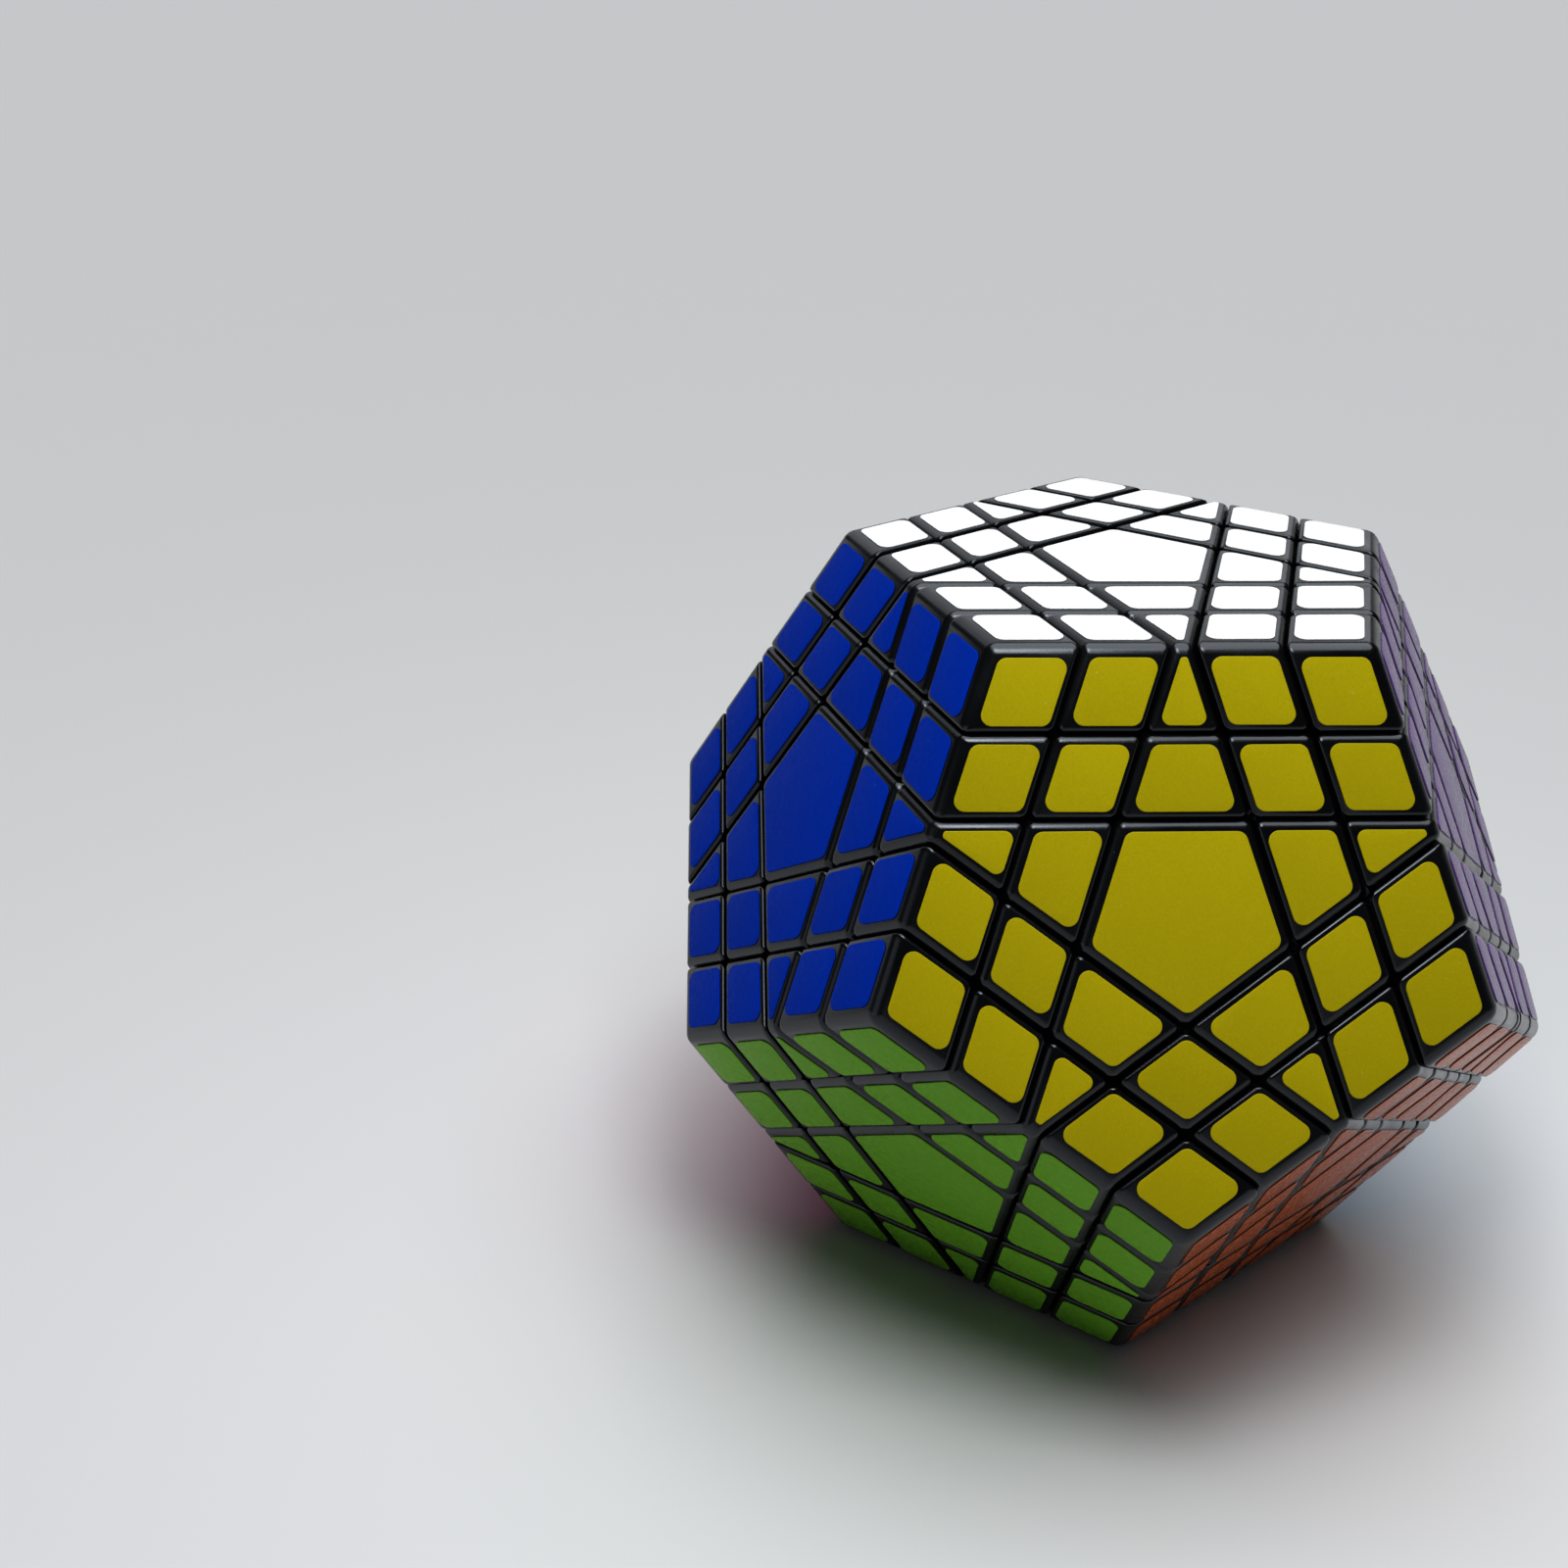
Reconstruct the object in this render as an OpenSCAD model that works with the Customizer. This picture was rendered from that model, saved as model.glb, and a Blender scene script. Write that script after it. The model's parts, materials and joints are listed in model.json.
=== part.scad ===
// Five-layer dodecahedron twisty puzzle with two turning cuts behind each of its 12 faces.
// Every face has an outer layer and a slice under it, and both turn on a post of a hollow core.
// Millimetres, +Z up, the puzzle stands on its bottom face with the origin at that face's middle.

/* [Body] */
// Edge length of the dodecahedron
edge_len = 43; // [42:0.5:46]
// Width of the first row of pieces on a face, measured from the face's edge
row_1 = 10; // [9.6:0.1:10.4]
// Width of the second row of pieces
row_2 = 9.5; // [9:0.1:9.6]
// Half of the gap between two neighbouring pieces
gap = 0.15; // [0.1:0.05:0.2]

/* [Interlock] */
// Depth of the round boss under each layer, which is also how far a piece's foot reaches under its neighbour
boss_step = 2; // [1.5:0.1:2.2]
// Thickness of the rim that covers the feet, measured level with the boss
rim_cover = 1.75; // [1.5:0.05:2]

/* [Centres] */
// Thickness of a centre cap at its middle
cap_thick = 1.2; // [1:0.05:1.3]
// Radius of the well that holds a screw head and its spring
well_r = 4.6; // [4.4:0.1:5]
// Thickness of the well's floor
floor_thick = 2; // [1.6:0.1:2.4]

/* [Core and screws] */
// Radius of the core's hollow
core_hollow_r = 24.5; // [22:0.5:25]
// Radius of a core post
post_r = 3.4; // [3:0.1:3.6]
// Radial play of an inner centre on its post
post_play = 0.08; // [0.05:0.01:0.1]
// Radius of a screw's shank
shank_r = 1.25; // [1:0.05:1.4]
// Length of a screw's shank
shank_len = 22.5; // [20:0.5:25]
// Radius of a screw's head
head_r = 3; // [2.6:0.1:3.2]
// Thickness of a screw's head
head_thick = 1.7; // [1.4:0.1:1.8]
// Radius of the spring's wire
wire_r = 0.3; // [0.25:0.05:0.4]
// Radius of the spring's coil, to the middle of the wire
coil_r = 2.3; // [2:0.1:2.4]
// Turns of the spring
coil_turns = 3; // [2:1:4]

/* [Stickers] */
// Thickness of a sticker
sticker_thick = 0.15; // [0.1:0.01:0.2]
// Distance of a sticker from the puzzle's own edges
inset_edge = 1.4; // [1.2:0.1:1.8]
// Distance of a sticker from the middle of a cut
inset_cut = 1.04; // [0.9:0.02:1.3]
// Radius of a sticker's corners
sticker_r = 1.2; // [0.8:0.1:1.3]

/* [Hidden] */
$fn = 48;

// A regular dodecahedron: the angle between two neighbouring faces' axes, and its inner radii
tilt = atan(2);
solid_in = edge_len * 1.113516364;
face_in = edge_len * 0.688190960;
// Height of each cut plane above the centre, outside its boss: the outer layer's and the slice's
cut = [solid_in - row_1 * sin(tilt), solid_in - (row_1 + row_2) * sin(tilt)];
// Radius of each cut's round boss: the cover inside the solid's outline at that height
boss_r = [for (h = cut) (solid_in - h * cos(tilt)) / sin(tilt) - rim_cover];
// Half thickness of the stock that a piece is cut from, and the radius of a ring tool
far = 75;
// The centre of the puzzle stands this high, so that the bottom stickers lie on the ground
mid_height = solid_in + sticker_thick;

// A centre's cap: the ring under it that plugs into the well, its wall and its play there
spigot_len = 1.2;
spigot_wall = 0.9;
spigot_play = 0.1;
// Room between a screw's head and the cap, and between a post's end and the centre's base
head_room = 0.6;
post_room = 0.3;
// Radii of the screw's holes in the centre's base and in the post
floor_hole_r = shank_r + 0.35;
pilot_r = shank_r + 0.05;
// Width and depth of the cross recess in a screw's head
recess_w = 0.8;
recess_depth = 1;
// A post starts this far from the puzzle's centre, inside the core's hollow
post_low = 15;
// The ring of the upper core half that centres the lower one: its reach, its wall, its play and its root
lip_len = 2;
lip_wall = 1.5;
lip_play = 0.2;
lip_root = 5;
// Sides of the spring's wire, rings of points to a turn, and the play at each end of the spring
wire_sides = 5;
turn_steps = 10;
spring_play = 0.05;
// How far two joined shapes run into each other
overlap = 0.5;

// Places along a centre's axis, from the puzzle's centre
base_low = cut[0] - boss_step + gap;
floor_top = base_low + floor_thick;
cap_low = solid_in - cap_thick;
head_low = cap_low - head_room - head_thick;
post_top = base_low - post_room;
core_in = cut[1] - boss_step - gap;

BLACK = [0.06, 0.06, 0.065];
STEEL = [0.62, 0.63, 0.65];
WHITE_NYLON = [0.82, 0.82, 0.8];

// The faces: 0 is the top, 1 to 5 the upper ring, 6 to 10 the lower ring and 11 the bottom
FACES = ["white", "yellow", "purple", "dark_green", "red", "blue",
         "orange", "light_blue", "cream", "pink", "light_green", "grey"];
COLOURS = [[0.92, 0.92, 0.92], [0.66, 0.61, 0.05], [0.42, 0.3, 0.6], [0.02, 0.32, 0.12],
           [0.7, 0.05, 0.06], [0.02, 0.14, 0.58], [0.75, 0.3, 0.1], [0.3, 0.62, 0.86],
           [0.9, 0.84, 0.6], [0.93, 0.45, 0.62], [0.25, 0.45, 0.12], [0.45, 0.46, 0.48]];
// The three faces whose layers have joints: no two of them touch, so all can turn at once
MOVING = [0, 10, 7];
FACE_PARTS = ["centre_base", "centre_cap", "t_centres", "x_centres", "mid_edges",
              "wing_edges", "corners", "stickers"];
SLICE_PARTS = ["slice_t_centres", "slice_x_centres", "slice_wings", "slice_inner_pieces",
               "slice_stickers"];
CORE_PARTS = ["core_upper_half", "core_lower_half", "screws", "springs"];
FIXED_PARTS = ["centre_bases", "centre_caps", "t_centres", "x_centres", "mid_edges",
               "wing_edges", "corners", "inner_pieces"];
FIXED_FACES = [for (f = [0:11]) if (!is_moving(f)) f];

// ---- Faces and their neighbours ----

function is_moving(f) = len([for (m = MOVING) if (m == f) m]) > 0;

// Turns the top face's frame into face f's: [turn about Z, tilt about X, spin about the face's axis]
function pose(f) =
    f == 0 ? [0, 0, 0] :
    f <= 5 ? [72 * (f - 1), tilt, 180] :
    f <= 10 ? [36 + 72 * (f - 6), 180 - tilt, 0] : [0, 180, 0];

module on_face(f) {
    p = pose(f);
    rotate([0, 0, p[0]]) rotate([p[1], 0, 0]) rotate([0, 0, p[2]]) children();
}

function turn_z(v, a) = [v[0] * cos(a) - v[1] * sin(a), v[0] * sin(a) + v[1] * cos(a), v[2]];
function turn_x(v, a) = [v[0], v[1] * cos(a) - v[2] * sin(a), v[1] * sin(a) + v[2] * cos(a)];
function to_world(f, v) = let (p = pose(f)) turn_z(turn_x(turn_z(v, p[2]), p[1]), p[0]);
function axis(f) = to_world(f, [0, 0, 1]);
// Directions in a face's own frame point at its five neighbours
function side_angle(k) = -90 + 72 * k;
function side_axis(f, k) =
    to_world(f, [sin(tilt) * cos(side_angle(k)), sin(tilt) * sin(side_angle(k)), cos(tilt)]);
function find_face(v) = [for (g = [0:11]) if (norm(axis(g) - v) < 0.01) g][0];
// NEAR[f][k] is face f's neighbour on side k
NEAR = [for (f = [0:11]) [for (k = [0:4]) find_face(side_axis(f, k))]];
function near(f, k) = NEAR[f][(k + 5) % 5];

// ---- Which layer a piece belongs to ----

// The level of a turning layer: 2 is a face's outer layer, 1 its slice, and [-1, 0] the fixed rest
FIXED = [-1, 0];
function owner(up, mid) =
    let (u = [for (f = up) if (is_moving(f)) f], s = [for (f = mid) if (is_moving(f)) f])
    len(u) > 0 ? [u[0], 2] : len(s) > 0 ? [s[0], 1] : FIXED;

// ---- Shaping one piece ----

// The stretch from height low to height high over face f
module slab(f, low, high) {
    on_face(f) translate([-far, -far, low]) cube([2 * far, 2 * far, high - low]);
}

// Material taken off beside the boss of a piece that is above cut c of face f
module boss_ring(f, c) {
    inner = boss_r[c] - gap;
    on_face(f) translate([0, 0, cut[c] - boss_step]) rotate_extrude()
        translate([inner, 0]) square([far - inner, boss_step + gap]);
}

// Material taken off for the boss above a piece that is below cut c of face f
module boss_recess(f, c) {
    on_face(f) translate([0, 0, cut[c] - boss_step - gap])
        cylinder(r = boss_r[c] + gap, h = boss_step + 1);
}

// A piece in the outer layers of the faces in up, in the slices of those in mid, and below those in low
module piece(up, mid, low = []) {
    slabs = concat(
        [for (f = up) [f, cut[0] - boss_step + gap, solid_in]],
        [for (f = mid) [f, cut[1] - boss_step + gap, cut[0] - gap]],
        [for (f = low) [f, -far, cut[1] - gap]]);
    difference() {
        intersection_for (s = slabs) slab(s[0], s[1], s[2]);
        for (f = up) boss_ring(f, 0);
        for (f = mid) boss_ring(f, 1);
        for (f = mid) boss_recess(f, 0);
        for (f = low) boss_recess(f, 1);
    }
}

module raised() {
    translate([0, 0, mid_height]) children();
}

// ---- The kinds of piece ----

module t_centres(who) {
    color(BLACK) raised() for (f = [0:11], k = [0:4])
        if (owner([f], [near(f, k)]) == who)
            piece([f], [near(f, k)], [near(f, k - 1), near(f, k + 1)]);
}

module x_centres(who) {
    color(BLACK) raised() for (f = [0:11], k = [0:4])
        if (owner([f], [near(f, k), near(f, k + 1)]) == who)
            piece([f], [near(f, k), near(f, k + 1)]);
}

module mid_edges(who) {
    color(BLACK) raised() for (f = [0:11], k = [0:4])
        if (f < near(f, k) && owner([f, near(f, k)], []) == who)
            piece([f, near(f, k)], [], [near(f, k - 1), near(f, k + 1)]);
}

module wing_edges(who) {
    color(BLACK) raised() for (f = [0:11], k = [0:4], s = [-1, 1])
        if (f < near(f, k) && owner([f, near(f, k)], [near(f, k + s)]) == who)
            piece([f, near(f, k)], [near(f, k + s)]);
}

module corners(who) {
    color(BLACK) raised() for (f = [0:11], k = [0:4])
        if (f < min(near(f, k), near(f, k + 1)) &&
            owner([f, near(f, k), near(f, k + 1)], []) == who)
            piece([f, near(f, k), near(f, k + 1)], []);
}

// ---- Centres: a base that turns on the screw, and a cap that hides it ----

// What is below height side over all five neighbours of face f
module inside_neighbours(f, side) {
    intersection_for (k = [0:4]) slab(near(f, k), -far, side);
}

// The stretch of face f's centre from height low to height high, inside side planes at height side
module centre_plate(f, low, high, side) {
    intersection() {
        slab(f, low, high);
        inside_neighbours(f, side);
    }
}

module centre_bases(who) {
    color(BLACK) raised() for (f = [0:11]) if (owner([f], []) == who) difference() {
        centre_plate(f, base_low, cap_low, cut[1] - boss_step - gap);
        on_face(f) translate([0, 0, floor_top]) cylinder(r = well_r, h = far);
        on_face(f) cylinder(r = floor_hole_r, h = far);
    }
}

module centre_caps(who) {
    spigot_r = well_r - spigot_play;
    color(BLACK) raised() for (f = [0:11]) if (owner([f], []) == who) {
        centre_plate(f, cap_low, solid_in, cut[1] - gap);
        on_face(f) translate([0, 0, cap_low - spigot_len]) rotate_extrude()
            translate([spigot_r - spigot_wall, 0]) square([spigot_wall, spigot_len + overlap]);
    }
}

// ---- Inner pieces: the hidden part of each slice ----

module inner_pieces(who) {
    color(BLACK) raised() for (f = [0:11]) {
        if (owner([], [f]) == who) difference() {
            piece([], [f], [for (k = [0:4]) near(f, k)]);
            on_face(f) cylinder(r = post_r + post_play, h = far);
        }
        for (k = [0:4]) {
            if (f < near(f, k) && owner([], [f, near(f, k)]) == who)
                piece([], [f, near(f, k)], [near(f, k - 1), near(f, k + 1)]);
            if (f < min(near(f, k), near(f, k + 1)) &&
                owner([], [f, near(f, k), near(f, k + 1)]) == who)
                piece([], [f, near(f, k), near(f, k + 1)]);
        }
    }
}

// ---- Core, screws and springs ----

// The upper or the lower half of the hollow core, with its six posts
module core_half(upper) {
    ours = upper ? [0:5] : [6:11];
    lip_in = core_hollow_r - lip_play - lip_wall;
    difference() {
        union() {
            difference() {
                intersection() {
                    intersection_for (f = [0:11]) slab(f, -far, core_in);
                    translate([-far, -far, upper ? 0 : -far]) cube([2 * far, 2 * far, far]);
                }
                sphere(r = core_hollow_r);
            }
            for (f = ours) on_face(f) translate([0, 0, post_low])
                cylinder(r = post_r, h = post_top - post_low);
            if (upper) translate([0, 0, -lip_len]) rotate_extrude()
                translate([lip_in, 0]) square([lip_wall, lip_len + lip_root]);
        }
        for (f = ours) on_face(f) translate([0, 0, post_low - 1]) cylinder(r = pilot_r, h = far);
    }
}

module core_upper_half() {
    color(WHITE_NYLON) raised() core_half(true);
}

module core_lower_half() {
    color(WHITE_NYLON) raised() core_half(false);
}

// A screw with a cross recess, its head above height 0
module screw() {
    recess_len = head_r * 1.2;
    difference() {
        union() {
            cylinder(r = head_r, h = head_thick);
            translate([0, 0, -shank_len]) cylinder(r = shank_r, h = shank_len + overlap);
        }
        for (a = [0, 90]) rotate([0, 0, a])
            translate([-recess_len / 2, -recess_w / 2, head_thick - recess_depth])
                cube([recess_len, recess_w, recess_depth + overlap]);
    }
}

module screws() {
    color(STEEL) raised() for (f = [0:11]) on_face(f) translate([0, 0, head_low]) screw();
}

// A round wire swept along a helix, as rings of points joined by quads
module spring(height) {
    n = wire_sides;
    steps = turn_steps * coil_turns;
    low = wire_r + spring_play;
    rise = height - 2 * low;
    points = [for (i = [0:steps], j = [0:n - 1])
        let (a = 360 * coil_turns * i / steps, b = 360 * j / n, r = coil_r + wire_r * cos(b))
        [r * cos(a), r * sin(a), low + rise * i / steps + wire_r * sin(b)]];
    walls = [for (i = [0:steps - 1], j = [0:n - 1])
        let (k = (j + 1) % n)
        [i * n + k, i * n + j, (i + 1) * n + j, (i + 1) * n + k]];
    ends = [[for (j = [0:n - 1]) j], [for (j = [n - 1:-1:0]) steps * n + j]];
    polyhedron(points = points, faces = concat(walls, ends));
}

module springs() {
    color(STEEL) raised() for (f = [0:11])
        on_face(f) translate([0, 0, floor_top]) spring(head_low - floor_top);
}

// ---- Stickers ----

// Where two lines of a face meet, each given by its side and its distance from the face's middle
function meet(k, h, l, m) =
    let (a = side_angle(k), b = side_angle(l), d = sin(b - a))
    [(h * sin(b) - m * sin(a)) / d, (m * cos(a) - h * cos(b)) / d];

function area2(p) = let (n = len(p))
    [for (i = [0:n - 1]) 1] * [for (i = [0:n - 1]) cross(p[i], p[(i + 1) % n])];
function unit(v) = v / norm(v);

// The outline with its corners rounded, each by its own radius, in two straight steps
function rounded(outline, radii) =
    let (n = len(outline), s = area2(outline) > 0 ? 1 : -1)
    [for (i = [0:n - 1]) let (
        v = outline[i],
        a = unit(outline[(i + n - 1) % n] - v),
        b = unit(outline[(i + 1) % n] - v),
        half = acos(a * b) / 2,
        middle = v + unit(a + b) * radii[i] / sin(half),
        reach = radii[i] / tan(half),
        start = atan2((v + a * reach - middle)[1], (v + a * reach - middle)[0]))
        for (t = [0:2]) let (w = start + s * t * (180 - 2 * half) / 2)
            middle + radii[i] * [cos(w), sin(w)]];

// Distances of a sticker's sides from the face's middle: the outer row's, the second row's and the rest's
outer_row = [face_in - row_1 + inset_cut, face_in - inset_edge];
second_row = [face_in - row_1 - row_2 + inset_cut, face_in - row_1 - inset_cut];
rest = face_in - row_1 - row_2 - inset_cut;

// A sticker's outline between two distances from side k and two from side l
function between(k, hk, l, hl) = [meet(k, hk[0], l, hl[0]), meet(k, hk[1], l, hl[0]),
                                  meet(k, hk[1], l, hl[1]), meet(k, hk[0], l, hl[1])];
// A sticker's outline in a row along side k, up to the second cuts of both its neighbours
function along(k, row) = [meet(k, row[0], k - 1, rest), meet(k, row[1], k - 1, rest),
                          meet(k, row[1], k + 1, rest), meet(k, row[0], k + 1, rest)];

// Radii of a sticker's corners: all alike, or with the two that meet in a triangle's tip almost sharp
tip_r = 0.35;
EVEN = [for (i = [0:4]) sticker_r];
TIP = [sticker_r * 0.8, tip_r, tip_r, sticker_r * 0.8];

// Every sticker of a face: [the outer layers it turns with, the slices it turns with, its outline]
function face_stickers(f) = concat(
    [[[f], [], rounded([for (k = [0:4]) meet(k, rest, k + 1, rest)], EVEN)]],
    [for (k = [0:4]) [[f], [near(f, k)], rounded(along(k, second_row), EVEN)]],
    [for (k = [0:4]) [[f], [near(f, k), near(f, k + 1)],
        rounded(between(k, second_row, k + 1, second_row), EVEN)]],
    [for (k = [0:4]) [[f, near(f, k)], [], rounded(along(k, outer_row), TIP)]],
    [for (k = [0:4], s = [-1, 1]) [[f, near(f, k)], [near(f, k + s)],
        rounded(between(k, outer_row, k + s, second_row), EVEN)]],
    [for (k = [0:4]) [[f, near(f, k), near(f, k + 1)], [],
        rounded(between(k, outer_row, k + 1, outer_row), EVEN)]]);

// The stickers of the given faces that turn with one layer
module stickers(faces, who) {
    raised() for (f = faces) color(COLOURS[f]) on_face(f) translate([0, 0, solid_in])
        for (s = face_stickers(f)) if (owner(s[0], s[1]) == who)
            linear_extrude(height = sticker_thick) polygon(s[2]);
}

// ---- Nodes ----

for (m = MOVING) {
    outer = [m, 2];
    slice = [m, 1];
    name = FACES[m];
    centre_bases(outer);
    centre_caps(outer);
    t_centres(outer);
    x_centres(outer);
    mid_edges(outer);
    wing_edges(outer);
    corners(outer);
    stickers([0:11], outer);
    t_centres(slice);
    x_centres(slice);
    wing_edges(slice);
    inner_pieces(slice);
    stickers([0:11], slice);
}

core_upper_half();
core_lower_half();
screws();
springs();
centre_bases(FIXED);  // fixed_centre_bases
centre_caps(FIXED);  // fixed_centre_caps
t_centres(FIXED);  // fixed_t_centres
x_centres(FIXED);  // fixed_x_centres
mid_edges(FIXED);  // fixed_mid_edges
wing_edges(FIXED);  // fixed_wing_edges
corners(FIXED);  // fixed_corners
inner_pieces(FIXED);  // fixed_inner_pieces
for (f = FIXED_FACES) stickers([f], FIXED);
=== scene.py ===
import json
import math
import random

import bmesh
import bpy
from mathutils import Matrix, Vector


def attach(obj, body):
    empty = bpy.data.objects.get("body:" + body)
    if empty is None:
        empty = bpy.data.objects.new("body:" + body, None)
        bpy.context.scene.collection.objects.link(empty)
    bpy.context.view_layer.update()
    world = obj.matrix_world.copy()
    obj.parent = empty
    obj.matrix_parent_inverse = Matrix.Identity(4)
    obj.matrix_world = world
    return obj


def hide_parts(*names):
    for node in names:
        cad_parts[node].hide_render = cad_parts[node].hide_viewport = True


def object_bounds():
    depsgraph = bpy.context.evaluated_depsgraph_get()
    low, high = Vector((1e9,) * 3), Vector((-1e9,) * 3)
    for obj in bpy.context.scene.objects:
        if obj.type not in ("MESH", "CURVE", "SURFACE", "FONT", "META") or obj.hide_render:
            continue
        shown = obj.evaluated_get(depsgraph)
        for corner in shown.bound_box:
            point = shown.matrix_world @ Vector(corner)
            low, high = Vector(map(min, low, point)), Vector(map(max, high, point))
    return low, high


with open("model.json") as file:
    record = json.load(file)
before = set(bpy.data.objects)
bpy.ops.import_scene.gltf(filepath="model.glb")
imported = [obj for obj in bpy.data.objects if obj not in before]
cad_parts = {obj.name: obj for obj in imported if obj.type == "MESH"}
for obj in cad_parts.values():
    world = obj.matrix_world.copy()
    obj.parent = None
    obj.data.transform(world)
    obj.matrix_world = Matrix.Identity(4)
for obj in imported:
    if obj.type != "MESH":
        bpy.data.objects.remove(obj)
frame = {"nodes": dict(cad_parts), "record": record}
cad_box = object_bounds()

MM = 0.001

# ---- Sizes, in metres. The puzzle's own size comes from the frame ----

INRADIUS = 1.113516364  # of a dodecahedron whose edge is 1
APOTHEM = 0.688190960  # of a pentagon whose edge is 1

STICKER_THICK = 0.15 * MM
MIDDLE = Vector((0, 0, cad_box[1].z / 2))  # the puzzle's centre
SOLID_IN = MIDDLE.z - STICKER_THICK  # from the centre to a face's plastic
EDGE = SOLID_IN / INRADIUS
FACE_IN = APOTHEM * EDGE  # from a face's middle to its edge
ROW_1 = 10 * MM  # from the puzzle's edge to the first cut, along a face
ROW_2 = 9.5 * MM  # from the first cut to the second
INSET_EDGE = 1.4 * MM  # from a sticker to the puzzle's edge
INSET_CUT = 1.04 * MM  # from a sticker to the middle of a cut
TILT = math.atan(2)  # between the axes of two neighbouring faces
CUT = [SOLID_IN - ROW_1 * math.sin(TILT), SOLID_IN - (ROW_1 + ROW_2) * math.sin(TILT)]

STICKER_R = 1.2 * MM  # the rounding of a sticker's corners
TIP_R = 0.35 * MM  # the same at the tip of a narrow sticker, which points to the puzzle's edge
BLUNT_R = STICKER_R * 0.8  # and at its other corners
# A sticker's section: how far in from its outline, and how high
SECTION = [(0.02 * MM, -0.01 * MM), (0, 0.02 * MM), (0, STICKER_THICK - 0.05 * MM),
           (0.035 * MM, STICKER_THICK - 0.012 * MM), (0.1 * MM, STICKER_THICK)]

ROUND_OUTER = 1.15 * MM  # the puzzle's own edges
ROUND_CUT = 0.75 * MM  # a piece's edges along the cuts
ROUND_SIDE = 0.95 * MM  # a piece's edges that run inwards

# Play: how far a piece sits off its place each way, and a sticker off its own
PIECE_SHIFT_MM = 0.05
PIECE_TURN_DEGREES = 0.3
STICKER_SHIFT_MM = 0.07
STICKER_TURN_DEGREES = 0.5
TONES = (0.96, 1.04)  # from the darkest to the lightest sticker of a colour

# How the meshes are made
ON_FACE = 0.02 * MM  # how near to a face's plane counts as on it
ALONG_AXIS = 0.99  # the cosine above which a normal counts as pointing along an axis
SAME_POINT = 0.002 * MM  # nearer points of a CAD mesh are joined
SAME_PLANE = math.radians(0.4)  # facets within this angle are joined
SMOOTH_BEND = math.radians(30)  # unrounded edges are shaded smooth below this angle
CREASE = math.radians(50)  # edges of a sticker are shaded sharp above this angle
WELD_REACH = 0.003 * MM  # nearer points at the ends of the rounded edges are joined
ROUND_STEPS = 4  # across a rounded edge
ARC_STEPS = 7  # round a sticker's corner

# Floor, light and camera
FLOOR_REACH = 8.0
FLOOR_GREY = 0.68
DAYLIGHT = (0.96, 0.98, 1)
COOL = (0.92, 0.95, 1)
LAMP_AT = (-0.02, -0.09, 0.23)
BACK_PANEL_AT = (0.0, 0.85, 0.50)
LEFT_PANEL_AT = (-0.55, -0.35, 0.24)
BACKDROP_LOW = 0.54  # the backdrop's brightness at the horizon, about that of the floor
BACKDROP_HIGH = 0.05  # and high up
BACKDROP_FADE = 0.24  # the height of the view direction at which it is darkest
CAMERA_AT = Vector((-49.8, -210.8, 167.7)) * MM  # solved from the sticker centres in the photo
CAMERA_DEGREES = (63.94, -0.48, -1.61)
CAMERA_LENS = 40.76  # in millimetres, as is the sensor
CAMERA_SENSOR = 36

# ---- Faces: 0 is the top, 1 to 5 the upper ring, 6 to 10 the lower ring, 11 the bottom ----
# Below, f is a face's number and k the number of one of its five sides.

FACES = ["white", "yellow", "purple", "dark_green", "red", "blue",
         "orange", "light_blue", "cream", "pink", "light_green", "grey"]
MOVING = [0, 10, 7]  # the faces whose layer and slice turn

# White, yellow, blue and light green are matched to the photo. Purple, orange and pink follow the spare
# stickers in it, and the others are the usual ones of such puzzles.
COLOURS = {
    "white": (0.88, 0.88, 0.87), "yellow": (0.385, 0.322, 0.006), "purple": (0.094, 0.041, 0.172),
    "dark_green": (0.005, 0.135, 0.034), "red": (0.52, 0.010, 0.012), "blue": (0.0, 0.032, 0.35),
    "orange": (0.38, 0.078, 0.014), "light_blue": (0.07, 0.36, 0.72), "cream": (0.80, 0.68, 0.32),
    "pink": (0.76, 0.10, 0.33), "light_green": (0.148, 0.355, 0.030), "grey": (0.20, 0.21, 0.22),
}
SIDE_STEP = 72  # degrees from one side of a face to the next
RING_SHIFT = 36  # degrees between the upper and the lower ring


def face_turn(f):
    """The rotation that takes the top face's frame to face f's."""
    if f == 0:
        about_z, about_x, spin = 0, 0, 0
    elif f <= 5:
        about_z, about_x, spin = math.radians(SIDE_STEP * (f - 1)), TILT, math.pi
    elif f <= 10:
        about_z, about_x, spin = math.radians(RING_SHIFT + SIDE_STEP * (f - 6)), math.pi - TILT, 0
    else:
        about_z, about_x, spin = 0, math.pi, 0
    return (Matrix.Rotation(about_z, 3, "Z") @ Matrix.Rotation(about_x, 3, "X")
            @ Matrix.Rotation(spin, 3, "Z"))


TURN = [face_turn(f) for f in range(12)]
AXIS = [turn.col[2].copy() for turn in TURN]


def side_angle(k):
    """The direction of side k from the middle of its face."""
    return math.radians(-90 + SIDE_STEP * k)


def find_neighbour(f, k):
    """The face whose axis is nearest to where the one across side k must be."""
    a = side_angle(k)
    towards = TURN[f] @ Vector((math.sin(TILT) * math.cos(a), math.sin(TILT) * math.sin(a), math.cos(TILT)))
    return min(range(12), key=lambda g: (AXIS[g] - towards).length)


NEIGHBOURS = [[find_neighbour(f, k) for k in range(5)] for f in range(12)]


def near(f, k):
    """The face across side k of face f; sides are counted on past 4 and below 0."""
    return NEIGHBOURS[f][k % 5]


def owner(up, mid):
    """The body of a piece in the outer layers of the faces in up and in the slices of those in mid."""
    for f in up:
        if f in MOVING:
            return FACES[f] + "_layer"
    for f in mid:
        if f in MOVING:
            return FACES[f] + "_slice"
    return "root"


# ---- A little play: every piece sits slightly off its place, and its stickers with it ----

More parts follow.
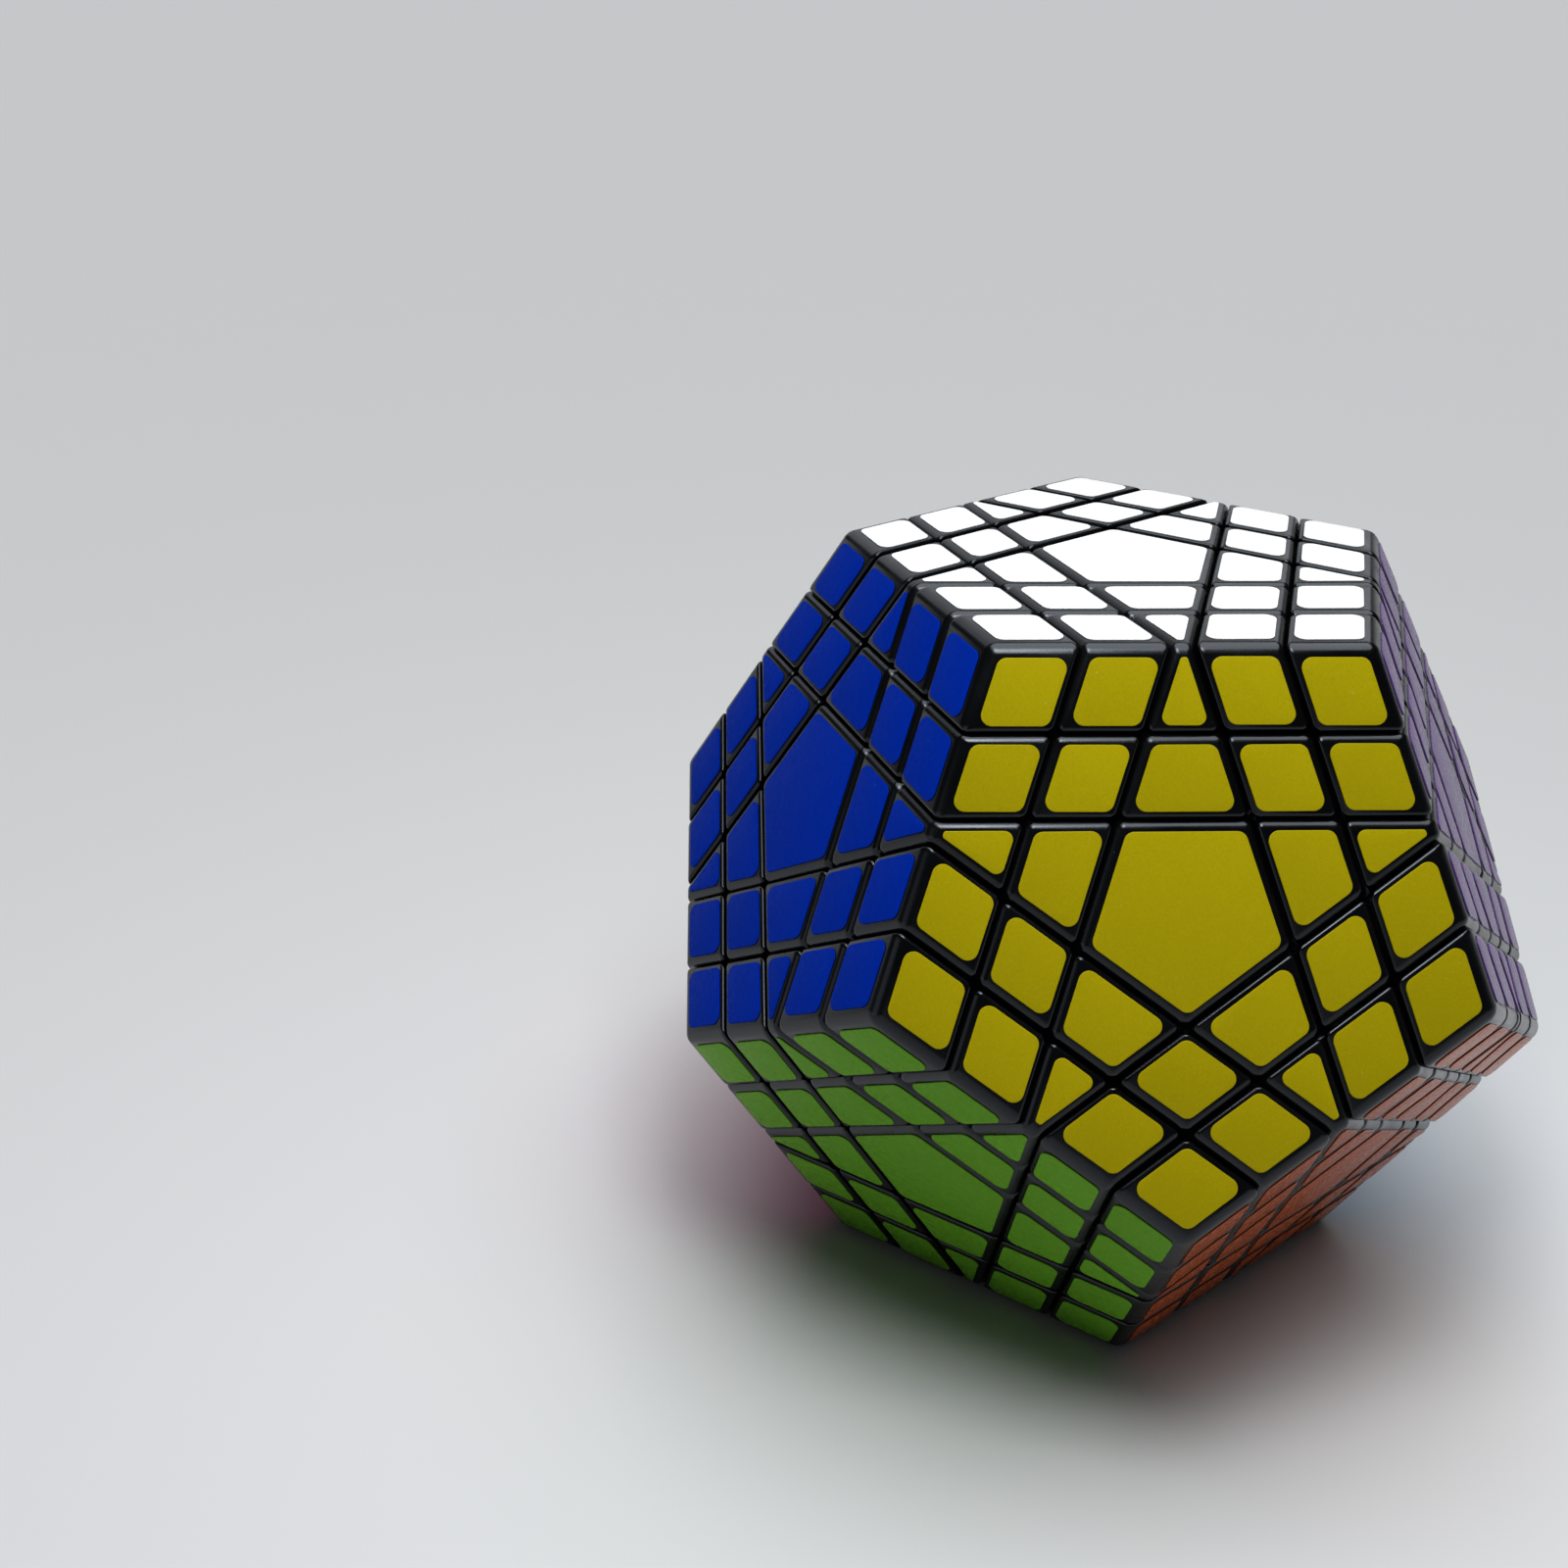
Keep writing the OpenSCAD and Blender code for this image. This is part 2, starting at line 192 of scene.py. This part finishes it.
def seat(up, mid):
    """The small displacement of a piece, the same for its plastic and its stickers."""
    code = sum(2 * 3 ** f for f in up) + sum(3 ** f for f in mid)
    rng = random.Random(code)
    outward = sum((2 * AXIS[f] for f in up), Vector()) + sum((AXIS[f] for f in mid), Vector())
    pivot = MIDDLE + outward.normalized() * SOLID_IN
    shift = Vector([rng.uniform(-PIECE_SHIFT_MM, PIECE_SHIFT_MM) * MM for _ in range(3)])
    axis = Vector([rng.uniform(-1, 1) for _ in range(3)]).normalized()
    angle = rng.uniform(-PIECE_TURN_DEGREES, PIECE_TURN_DEGREES)
    turn = Matrix.Rotation(math.radians(angle), 4, axis)
    return Matrix.Translation(pivot + shift) @ turn @ Matrix.Translation(-pivot)


def levels(point):
    """The faces whose outer layer and whose slice a point of the puzzle is in."""
    heights = [AXIS[f].dot(point - MIDDLE) for f in range(12)]
    up = [f for f in range(12) if heights[f] > CUT[0]]
    mid = [f for f in range(12) if CUT[1] < heights[f] <= CUT[0]]
    return up, mid


# ---- Materials ----

DUST_FROM = 0.76  # the noise value above which dust starts to show
DUST_TO = 0.82  # and above which it shows in full
COOL_SHEEN = (0.86, 0.92, 1, 1)


def new_material(name):
    """A material, its node tree and its shader."""
    material = bpy.data.materials.new(name)
    material.use_nodes = True
    tree = material.node_tree
    return material, tree, tree.nodes["Principled BSDF"]


def add_noise(tree, scale, detail=2.0):
    """A noise in the object's own coordinates; scale is about the number of features in a metre."""
    where = tree.nodes.new("ShaderNodeTexCoord")
    noise = tree.nodes.new("ShaderNodeTexNoise")
    noise.inputs["Scale"].default_value = scale
    noise.inputs["Detail"].default_value = detail
    tree.links.new(where.outputs["Object"], noise.inputs["Vector"])
    return noise.outputs["Fac"]


def spread(tree, value, low, high, start=0.3, end=0.7):
    """Maps a noise from start..end to low..high."""
    node = tree.nodes.new("ShaderNodeMapRange")
    node.inputs["From Min"].default_value = start
    node.inputs["From Max"].default_value = end
    node.inputs["To Min"].default_value = low
    node.inputs["To Max"].default_value = high
    tree.links.new(value, node.inputs["Value"])
    return node.outputs["Result"]


def blend_colours(tree, factor, dark, light):
    """A colour between dark, where the factor is 0, and light, where it is 1."""
    node = tree.nodes.new("ShaderNodeMix")
    node.data_type = "RGBA"
    node.inputs["A"].default_value = (*dark, 1)
    node.inputs["B"].default_value = (*light, 1)
    tree.links.new(factor, node.inputs["Factor"])
    return node.outputs["Result"]


def add_bump(tree, shader, height, strength, distance):
    bump = tree.nodes.new("ShaderNodeBump")
    bump.inputs["Strength"].default_value = strength
    bump.inputs["Distance"].default_value = distance
    tree.links.new(height, bump.inputs["Height"])
    tree.links.new(bump.outputs["Normal"], shader.inputs["Normal"])


def add_dust(tree, shader, base, noise, most, dust):
    """Puts a few specks of dust over the base colour, where a noise peaks."""
    dusty = tree.nodes.new("ShaderNodeMix")
    dusty.data_type = "RGBA"
    dusty.inputs["B"].default_value = (*dust, 1)
    tree.links.new(spread(tree, noise, 0, most, DUST_FROM, DUST_TO), dusty.inputs["Factor"])
    tree.links.new(base, dusty.inputs["A"])
    tree.links.new(dusty.outputs["Result"], shader.inputs["Base Color"])


def add_tone(tree, colour):
    """Makes a colour lighter or darker by the tone that each sticker carries."""
    tone = tree.nodes.new("ShaderNodeAttribute")
    tone.attribute_name = "tone"
    toned = tree.nodes.new("ShaderNodeHueSaturation")
    tree.links.new(tone.outputs["Fac"], toned.inputs["Value"])
    tree.links.new(colour, toned.inputs["Color"])
    return toned.outputs["Color"]


def scaled(colour, factor):
    return tuple(min(c * factor, 1) for c in colour)


def paler(colour, share):
    return [c + (1 - c) * share for c in colour]


def moulded_plastic(name, colour, rough):
    """Satin plastic: a fine moulded grain, specks of dust, and a sheen that handling has made uneven."""
    material, tree, shader = new_material(name)
    clouds = spread(tree, add_noise(tree, scale=60, detail=4), low=0, high=1)
    cloudy = blend_colours(tree, clouds, dark=scaled(colour, 0.75), light=scaled(colour, 1.4))
    specks = add_noise(tree, scale=1900)
    add_dust(tree, shader, cloudy, specks, most=0.4, dust=paler(colour, 0.12))
    smudges = add_noise(tree, scale=140, detail=5)
    tree.links.new(spread(tree, smudges, low=rough * 0.8, high=rough * 1.3), shader.inputs["Roughness"])
    grain = add_noise(tree, scale=3500)
    add_bump(tree, shader, grain, strength=0.22, distance=0.03 * MM)
    shader.inputs["Specular IOR Level"].default_value = 0.58
    shader.inputs["Specular Tint"].default_value = COOL_SHEEN
    return material


def vinyl(name, colour, gloss):
    """Printed vinyl: even colour with a fine grain, a few specks of dust, and a pebble under the gloss."""
    material, tree, shader = new_material(name)
    grain = spread(tree, add_noise(tree, scale=4500), low=0, high=1)
    grainy = blend_colours(tree, grain, dark=scaled(colour, 0.94), light=scaled(colour, 1.05))
    ink = add_tone(tree, grainy)
    specks = add_noise(tree, scale=2600, detail=1)
    add_dust(tree, shader, ink, specks, most=0.25, dust=paler(colour, 0.35))
    haze = add_noise(tree, scale=900, detail=3)
    tree.links.new(spread(tree, haze, low=0.25, high=0.30), shader.inputs["Roughness"])
    pebble = add_noise(tree, scale=2600)
    add_bump(tree, shader, pebble, strength=0.12, distance=0.02 * MM)
    shader.inputs["Specular IOR Level"].default_value = gloss
    half_ink = [0.5 + 0.5 * c / max(colour) for c in colour]
    shader.inputs["Specular Tint"].default_value = (*half_ink, 1)
    return material


def steel(name):
    """Plated steel with fine, uneven marks."""
    material, tree, shader = new_material(name)
    marks = spread(tree, add_noise(tree, scale=900, detail=4), low=0, high=1)
    plating = blend_colours(tree, marks, dark=(0.42, 0.42, 0.43), light=(0.66, 0.66, 0.67))
    tree.links.new(plating, shader.inputs["Base Color"])
    wear = add_noise(tree, scale=1500, detail=4)
    tree.links.new(spread(tree, wear, low=0.24, high=0.42), shader.inputs["Roughness"])
    shader.inputs["Metallic"].default_value = 1
    return material


BLACK = moulded_plastic("black_plastic", colour=(0.002, 0.002, 0.0024), rough=0.23)
NYLON = moulded_plastic("core_nylon", colour=(0.6, 0.6, 0.57), rough=0.45)
STEEL = steel("steel")
PLAIN_GLOSS = 0.05
GLOSS = {"blue": 0.02, "purple": 0.34, "orange": 0.22}  # the inks that differ from the plain gloss
VINYL = {colour: vinyl("vinyl_" + colour, COLOURS[colour], GLOSS.get(colour, PLAIN_GLOSS))
         for colour in FACES}


# ---- Plastic pieces: the CAD shapes with moulded edges ----

record = frame["record"]
BODY_OF = {node: body for body, nodes in record["behaviour"]["bodies"].items() for node in nodes}
SLOT_OF = {part["node"]: part["material_slot"] for part in record["subparts"]}
SHELLS = ("centre_cap", "t_centre", "x_centre", "mid_edge", "wing_edge", "corner", "slice_wing")


def is_outside(face):
    """Is this face of a piece on the puzzle's outside?"""
    centre = face.calc_center_median() - MIDDLE
    return any(abs(axis.dot(centre) - SOLID_IN) < ON_FACE and face.normal.dot(axis) > ALONG_AXIS
               for axis in AXIS)


def islands(bm):
    """The separate solids of a mesh, as lists of vertices."""
    left = set(bm.verts)
    while left:
        start = min(left, key=lambda v: v.index)
        found, todo = {start}, [start]
        while todo:
            for e in todo.pop().link_edges:
                for v in e.verts:
                    if v not in found:
                        found.add(v)
                        todo.append(v)
        left -= found
        yield sorted(found, key=lambda v: v.index)


def edge_round(edge, outside):
    """The rounding of one edge of a piece; edges that don't reach the outside stay sharp."""
    on = sum(face in outside for face in edge.link_faces)
    if on == 2:
        return ROUND_OUTER
    if on == 1:
        return ROUND_CUT
    touches = any(face in outside for v in edge.verts for face in v.link_faces)
    return ROUND_SIDE if touches else 0


def whole_faces(node):
    """A CAD node's mesh, with the facets of each flat face joined into one."""
    bm = bmesh.new()
    bm.from_mesh(frame["nodes"][node].data)
    bmesh.ops.remove_doubles(bm, verts=bm.verts, dist=SAME_POINT)
    bmesh.ops.dissolve_limit(bm, angle_limit=SAME_PLANE, verts=bm.verts, edges=bm.edges)
    bm.normal_update()
    bm.verts.index_update()
    return bm


def mark_edges(bm):
    """Sets each edge's share of the widest rounding, and which edges are shaded smooth."""
    outside = {face for face in bm.faces if is_outside(face)}
    weight = bm.edges.layers.float.new("bevel_weight_edge")
    for edge in bm.edges:
        edge[weight] = edge_round(edge, outside) / ROUND_OUTER
        edge.smooth = edge[weight] > 0 or edge.calc_face_angle(0) < SMOOTH_BEND
    for face in bm.faces:
        face.smooth = True


def add_rounding(piece):
    """Rounds the marked edges and cleans up the ends of the rounding."""
    bevel = piece.modifiers.new("moulded_edges", "BEVEL")
    bevel.limit_method = "WEIGHT"
    bevel.width = ROUND_OUTER
    bevel.segments = ROUND_STEPS
    bevel.use_clamp_overlap = False
    bevel.harden_normals = True
    weld = piece.modifiers.new("clean_ends", "WELD")
    weld.merge_threshold = WELD_REACH


def rounded_copy(node, material):
    """A copy of a CAD node that takes its place, with its outside edges rounded as mouldings are."""
    bm = whole_faces(node)
    mark_edges(bm)
    for solid in islands(bm):
        middle = sum((v.co for v in solid), Vector()) / len(solid)
        bmesh.ops.transform(bm, matrix=seat(*levels(middle)), verts=solid)
    mesh = bpy.data.meshes.new(node + "_rounded")
    bm.to_mesh(mesh)
    bm.free()
    piece = bpy.data.objects.new(node + "_rounded", mesh)
    bpy.context.scene.collection.objects.link(piece)
    mesh.materials.append(material)
    add_rounding(piece)
    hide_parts(node)
    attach(piece, BODY_OF[node])


for node in sorted(frame["nodes"]):
    if node.rstrip("s").endswith(SHELLS):
        rounded_copy(node, BLACK)


# ---- Stickers ----

# Rows of stickers beside a side: where each starts and ends, measured from the face's middle
OUTER_ROW = (FACE_IN - ROW_1 + INSET_CUT, FACE_IN - INSET_EDGE)
SECOND_ROW = (FACE_IN - ROW_1 - ROW_2 + INSET_CUT, FACE_IN - ROW_1 - INSET_CUT)
INNER = FACE_IN - ROW_1 - ROW_2 - INSET_CUT  # how far a sticker inside the second cut reaches

NODE_OF = {("root", f): "fixed_stickers_" + FACES[f] for f in range(12) if f not in MOVING}
for m in MOVING:
    for f in range(12):
        NODE_OF[FACES[m] + "_layer", f] = FACES[m] + "_stickers"
        NODE_OF[FACES[m] + "_slice", f] = FACES[m] + "_slice_stickers"


def meet(side_1, reach_1, side_2, reach_2):
    """Where two lines of a face meet, each given by its side and its distance from the face's middle."""
    a, b = side_angle(side_1), side_angle(side_2)
    d = math.sin(b - a)
    return Vector(((reach_1 * math.sin(b) - reach_2 * math.sin(a)) / d,
                   (reach_2 * math.cos(a) - reach_1 * math.cos(b)) / d))


def between(side_1, row_1, side_2, row_2):
    """The outline of a sticker where the rows of two sides cross."""
    return [meet(side_1, row_1[0], side_2, row_2[0]), meet(side_1, row_1[1], side_2, row_2[0]),
            meet(side_1, row_1[1], side_2, row_2[1]), meet(side_1, row_1[0], side_2, row_2[1])]


def along(k, row):
    """The outline of the sticker in the middle of a row."""
    return [meet(k, row[0], k - 1, INNER), meet(k, row[1], k - 1, INNER),
            meet(k, row[1], k + 1, INNER), meet(k, row[0], k + 1, INNER)]


def face_stickers(f):
    """Every sticker of a face: (outer layers it is in, slices it is in, outline, corner radii)."""
    even = [STICKER_R] * 5
    tip = [BLUNT_R, TIP_R, TIP_R, BLUNT_R]
    yield [f], [], [meet(k, INNER, k + 1, INNER) for k in range(5)], even
    for k in range(5):
        yield [f], [near(f, k)], along(k, SECOND_ROW), even
        yield [f], [near(f, k), near(f, k + 1)], between(k, SECOND_ROW, k + 1, SECOND_ROW), even
        yield [f, near(f, k)], [], along(k, OUTER_ROW), tip
        for s in (-1, 1):
            yield [f, near(f, k)], [near(f, k + s)], between(k, OUTER_ROW, k + s, SECOND_ROW), even
        yield [f, near(f, k), near(f, k + 1)], [], between(k, OUTER_ROW, k + 1, OUTER_ROW), even


def rounded_outline(corners, radii):
    """A convex outline, counterclockwise, with its corners rounded in arcs."""
    if sum(a.cross(b) for a, b in zip(corners, corners[1:] + corners[:1])) < 0:
        corners, radii = corners[::-1], radii[:len(corners)][::-1]
    points = []
    for i, corner in enumerate(corners):
        to_last = (corners[i - 1] - corner).normalized()
        to_next = (corners[(i + 1) % len(corners)] - corner).normalized()
        half = to_last.angle(to_next) / 2
        middle = corner + (to_last + to_next).normalized() * radii[i] / math.sin(half)
        start = corner + to_last * radii[i] / math.tan(half) - middle
        turn = math.pi - 2 * half
        for step in range(ARC_STEPS + 1):
            points.append(middle + Matrix.Rotation(turn * step / ARC_STEPS, 2) @ start)
    return points


def shrunk(points, by):
    """An outline moved inwards, each point square to the line through its neighbours."""
    moved = []
    for i, point in enumerate(points):
        before, after = points[i - 1], points[(i + 1) % len(points)]
        along_edge = (after - before).normalized()
        moved.append(point + Vector((-along_edge.y, along_edge.x)) * by)
    return moved


def add_sticker(bm, f, up, mid, corners, radii, tone):
    """A closed sticker on face f: rings of points up its section, walls between them, and two caps."""
    outline = rounded_outline(corners, radii)
    place = seat(up, mid) @ Matrix.Translation(MIDDLE) @ TURN[f].to_4x4()
    rings = []
    for inset, height in SECTION:
        ring = shrunk(outline, inset) if inset else outline
        rings.append([bm.verts.new(place @ Vector((p.x, p.y, SOLID_IN + height))) for p in ring])
    n = len(outline)
    faces = []
    for low, high in zip(rings, rings[1:]):
        for i in range(n):
            faces.append(bm.faces.new((low[i], low[(i + 1) % n], high[(i + 1) % n], high[i])))
    for cap in (rings[0][::-1], rings[-1]):
        faces.append(bm.faces.new(cap))
    tone_layer = bm.faces.layers.float["tone"]
    for face in faces:
        face[tone_layer] = tone


def sticker_sheets():
    """The stickers by body and face. Each is laid by hand, so it is a touch off square and off centre."""
    sheets = {}
    for f in range(12):
        rng = random.Random(100 + f)
        for up, mid, corners, radii in face_stickers(f):
            middle = sum(corners, Vector((0, 0))) / len(corners)
            angle = rng.uniform(-STICKER_TURN_DEGREES, STICKER_TURN_DEGREES)
            turn = Matrix.Rotation(math.radians(angle), 2)
            shift = Vector([rng.uniform(-STICKER_SHIFT_MM, STICKER_SHIFT_MM) for _ in range(2)]) * MM
            laid = [middle + shift + turn @ (p - middle) for p in corners]
            sheets.setdefault((owner(up, mid), f), []).append((up, mid, laid, radii, rng.uniform(*TONES)))
    return sheets


def make_sheet(body, f, sheet):
    """The stickers of one colour on one body are one piece."""
    bm = bmesh.new()
    bm.faces.layers.float.new("tone")
    for sticker in sheet:
        add_sticker(bm, f, *sticker)
    name = f"{body}_stickers_{FACES[f]}"
    mesh = bpy.data.meshes.new(name)
    bm.to_mesh(mesh)
    bm.free()
    mesh.materials.append(VINYL[FACES[f]])
    mesh.shade_smooth()
    mesh.set_sharp_from_angle(angle=CREASE)
    piece = bpy.data.objects.new(name, mesh)
    bpy.context.scene.collection.objects.link(piece)
    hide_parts(NODE_OF[body, f])
    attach(piece, body)


for (body, f), sheet in sticker_sheets().items():
    make_sheet(body, f, sheet)


# ---- The pieces that stay as the CAD has them ----

FINISH = {"core_nylon": NYLON, "steel": STEEL, "black_plastic": BLACK}
for name, node in frame["nodes"].items():
    if not node.hide_render:
        node.data.materials.clear()
        node.data.materials.append(FINISH[SLOT_OF[name]])


# ---- Floor, light and camera ----

def make_floor():
    """One plain, pale, dull sheet."""
    r = FLOOR_REACH
    mesh = bpy.data.meshes.new("floor")
    mesh.from_pydata([(-r, -r, 0), (r, -r, 0), (r, r, 0), (-r, r, 0)], [], [(0, 1, 2, 3)])
    floor = bpy.data.objects.new("floor", mesh)
    bpy.context.scene.collection.objects.link(floor)
    material, _, shader = new_material("pale_floor")
    shader.inputs["Base Color"].default_value = (FLOOR_GREY, FLOOR_GREY, FLOOR_GREY, 1)
    shader.inputs["Roughness"].default_value = 1
    shader.inputs["Specular IOR Level"].default_value = 0
    mesh.materials.append(material)


def area_light(name, at, size, power, colour, lights_surfaces=True):
    """A soft panel that faces the puzzle; one that lights no surfaces is only seen in their gloss."""
    data = bpy.data.lights.new(name, "AREA")
    data.shape = "RECTANGLE"
    data.size, data.size_y = size
    data.energy = power
    data.color = colour
    light = bpy.data.objects.new(name, data)
    light.location = at
    light.rotation_euler = (MIDDLE - Vector(at)).to_track_quat("-Z", "Y").to_euler()
    light.visible_camera = False
    light.visible_diffuse = lights_surfaces
    bpy.context.scene.collection.objects.link(light)


def sky_light(name, towards, strength, width_degrees, colour):
    """A broad sky that lights the whole floor evenly and gives soft shadows."""
    data = bpy.data.lights.new(name, "SUN")
    data.energy = strength
    data.angle = math.radians(width_degrees)
    data.color = colour
    light = bpy.data.objects.new(name, data)
    light.rotation_euler = Vector(towards).to_track_quat("Z", "Y").to_euler()
    bpy.context.scene.collection.objects.link(light)


def make_backdrop():
    """The world, whose brightness depends on the height of the view direction alone."""
    world = bpy.data.worlds.new("studio")
    bpy.context.scene.world = world
    world.use_nodes = True
    tree = world.node_tree
    backdrop = tree.nodes["Background"]
    backdrop.inputs["Color"].default_value = (*DAYLIGHT, 1)
    direction = tree.nodes.new("ShaderNodeTexCoord")
    height = tree.nodes.new("ShaderNodeSeparateXYZ")
    tree.links.new(direction.outputs["Generated"], height.inputs["Vector"])
    fade = tree.nodes.new("ShaderNodeMapRange")
    fade.interpolation_type = "SMOOTHSTEP"
    fade.inputs["From Max"].default_value = BACKDROP_FADE
    fade.inputs["To Min"].default_value = BACKDROP_LOW
    fade.inputs["To Max"].default_value = BACKDROP_HIGH
    tree.links.new(height.outputs["Z"], fade.inputs["Value"])
    tree.links.new(fade.outputs["Result"], backdrop.inputs["Strength"])


def make_camera():
    """The camera of the photo."""
    data = bpy.data.cameras.new("camera")
    data.lens = CAMERA_LENS
    data.sensor_width = CAMERA_SENSOR
    camera = bpy.data.objects.new("camera", data)
    camera.location = CAMERA_AT
    camera.rotation_euler = [math.radians(a) for a in CAMERA_DEGREES]
    bpy.context.scene.collection.objects.link(camera)
    bpy.context.scene.camera = camera


make_floor()
sky_light("sky", towards=(0.10, 0.12, 1), strength=2.2, width_degrees=60, colour=DAYLIGHT)
area_light("lamp", at=LAMP_AT, size=(0.07, 0.07), power=0.14, colour=DAYLIGHT)
area_light("back_panel", at=BACK_PANEL_AT, size=(1.2, 0.5), power=1.5, colour=COOL, lights_surfaces=False)
area_light("left_panel", at=LEFT_PANEL_AT, size=(0.35, 0.30), power=0.2, colour=COOL, lights_surfaces=False)
make_backdrop()
make_camera()
bpy.context.scene.view_settings.view_transform = "Standard"
bpy.context.scene.view_settings.look = "Medium High Contrast"
